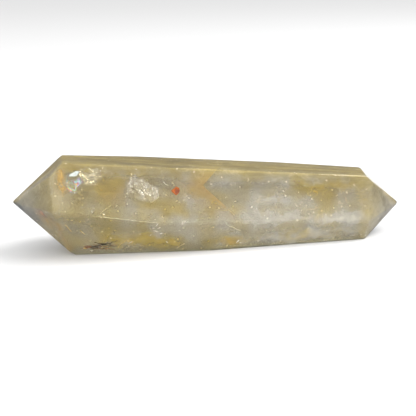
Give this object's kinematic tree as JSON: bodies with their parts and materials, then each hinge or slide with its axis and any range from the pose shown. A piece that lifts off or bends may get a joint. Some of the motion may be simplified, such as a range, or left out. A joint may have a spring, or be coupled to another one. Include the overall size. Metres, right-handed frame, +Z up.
{
  "type": "citrine wand",
  "caption": "Double-terminated, six-sided polished citrine wand, tapered, lying on its lowest long facet; a free-standing mineral specimen.",
  "frame": {"origin": "middle of the wand's footprint, on the surface that it lies on", "axes": "+X along the wand towards its thin end, -Y towards the front with its two widest facets, +Z up"},
  "size_m": [0.0992, 0.0242, 0.0239],
  "materials": {
    "citrine": "polished, clear pale citrine with milky veils, iron stains and healed cracks"
  },
  "bodies": {
    "root": {"citrine_wand": "citrine"}
  },
  "joints": []
}
